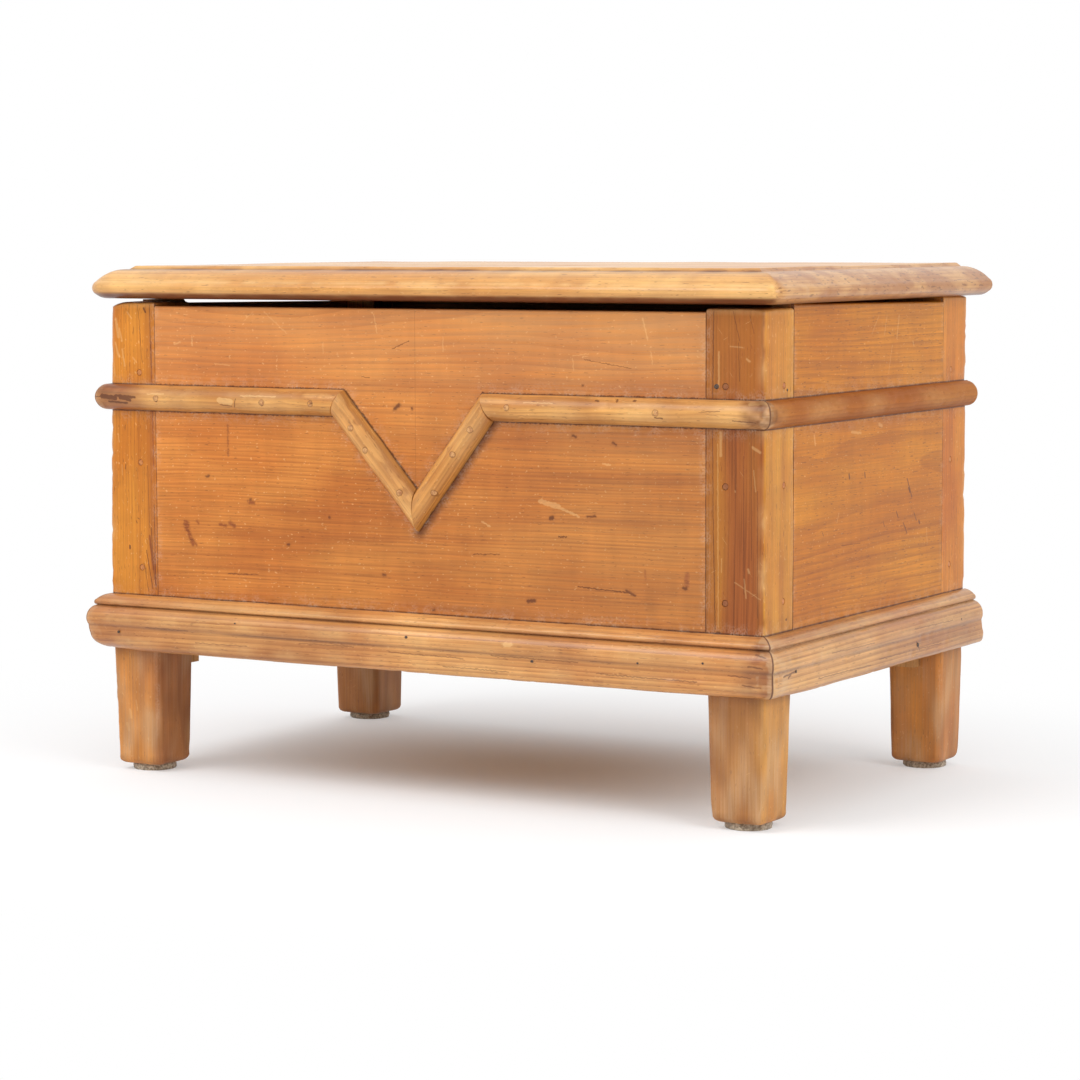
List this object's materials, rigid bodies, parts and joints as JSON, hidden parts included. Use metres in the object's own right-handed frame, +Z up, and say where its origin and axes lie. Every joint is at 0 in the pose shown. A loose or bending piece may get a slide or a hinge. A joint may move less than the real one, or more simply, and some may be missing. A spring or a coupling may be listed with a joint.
{
  "type": "sugar chest",
  "caption": "Low pine sugar chest with a hinged thumb-moulded lid, a half-round bead that dips in a vee on the front, an ogee base moulding and short square tapered legs.",
  "frame": {"origin": "on the floor, under the centre of the whole outline in plan", "axes": "+X along the front to the right as seen from the front, the front faces -Y, +Z up"},
  "size_m": [0.753, 0.475, 0.4925],
  "materials": {
    "post_pine": "waxed satin",
    "front_pine": "waxed satin",
    "side_pine": "waxed satin",
    "inner_pine": "bare, dry",
    "peg_oak": "waxed satin",
    "base_pine": "waxed satin",
    "bead_pine": "waxed satin",
    "lid_pine": "waxed satin",
    "hinge_iron": "dark, dull",
    "pad_felt": "matt felt"
  },
  "bodies": {
    "case": {"post_front_left": "post_pine", "corner_block_front_left": "inner_pine", "felt_pad_front_left": "pad_felt", "post_front_right": "post_pine", "corner_block_front_right": "inner_pine", "felt_pad_front_right": "pad_felt", "post_back_left": "post_pine", "corner_block_back_left": "inner_pine", "felt_pad_back_left": "pad_felt", "post_back_right": "post_pine", "corner_block_back_right": "inner_pine", "felt_pad_back_right": "pad_felt", "panel_front": "front_pine", "panel_back": "side_pine", "panel_left": "side_pine", "panel_right": "side_pine", "joint_pegs": "peg_oak", "ledger_front": "inner_pine", "ledger_back": "inner_pine", "ledger_left": "inner_pine", "ledger_right": "inner_pine", "floor_board_1": "inner_pine", "floor_board_2": "inner_pine", "floor_board_3": "inner_pine", "divider": "inner_pine", "base_moulding_front": "base_pine", "base_moulding_left": "base_pine", "base_moulding_right": "base_pine", "bead_front_left": "bead_pine", "bead_vee_left": "bead_pine", "bead_side_left": "bead_pine", "hinge_left_case_leaf": "hinge_iron", "hinge_left_pin": "hinge_iron", "bead_front_right": "bead_pine", "bead_vee_right": "bead_pine", "bead_side_right": "bead_pine", "hinge_right_case_leaf": "hinge_iron", "hinge_right_pin": "hinge_iron", "case_hinge_screws": "hinge_iron"},
    "lid_assembly": {"lid": "lid_pine", "hinge_left_lid_leaf": "hinge_iron", "hinge_right_lid_leaf": "hinge_iron", "lid_hinge_screws": "hinge_iron"}
  },
  "joints": [
    {"name": "lid_hinge", "type": "hinge", "parent": "case", "child": "lid_assembly", "pos_m": [0, 0.2269, 0.4593], "axis": [-1, 0, 0], "range_deg": [0, 105]}
  ]
}
